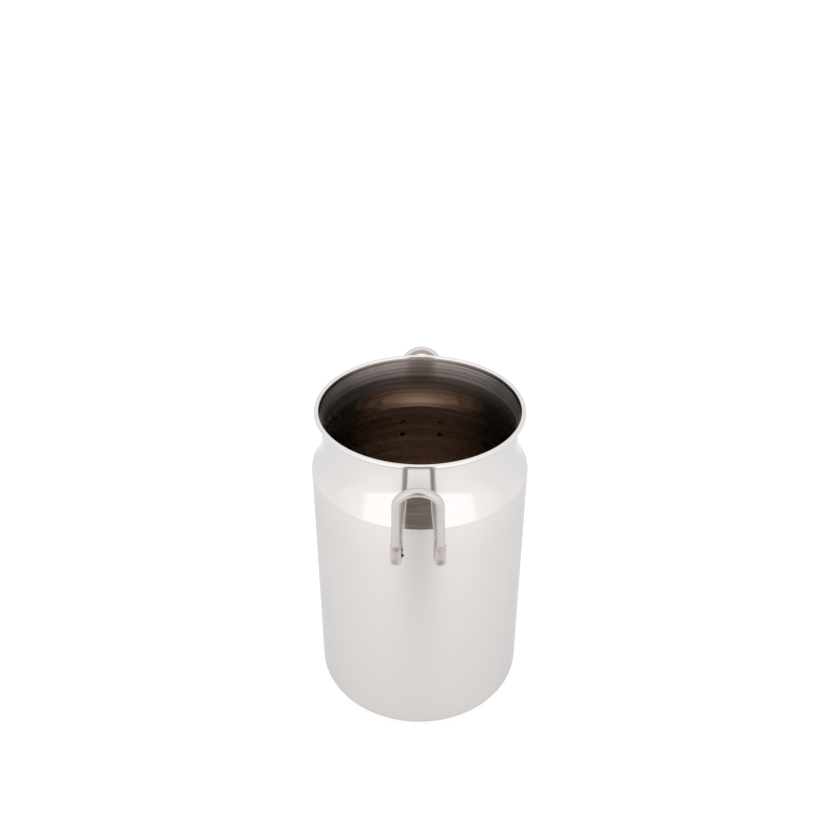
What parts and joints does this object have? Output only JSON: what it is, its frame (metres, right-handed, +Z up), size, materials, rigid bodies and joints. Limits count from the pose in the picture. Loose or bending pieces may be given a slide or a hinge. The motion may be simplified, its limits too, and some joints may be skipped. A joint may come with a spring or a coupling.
{
  "type": "milk can",
  "caption": "Small open milk can in drawn steel sheet with a waisted neck, rolled rim and welded wire loop handles.",
  "frame": {"origin": "middle of the base, on the plane the can stands on", "axes": "+Z up along the can's axis, front handle at -Y, rear handle at +Y"},
  "size_m": [0.085, 0.1044, 0.1315],
  "materials": {
    "can_steel": "satin body, mirror neck, shoulder and rim",
    "handle_steel": "polished wire",
    "weld_steel": "heat-tinted weld"
  },
  "bodies": {
    "root": {"can_body": "can_steel", "front_handle": "handle_steel", "rear_handle": "handle_steel", "weld_front_left_lower": "weld_steel", "weld_front_left_upper": "weld_steel", "weld_front_right_lower": "weld_steel", "weld_front_right_upper": "weld_steel", "weld_rear_left_lower": "weld_steel", "weld_rear_left_upper": "weld_steel", "weld_rear_right_lower": "weld_steel", "weld_rear_right_upper": "weld_steel"}
  },
  "joints": []
}
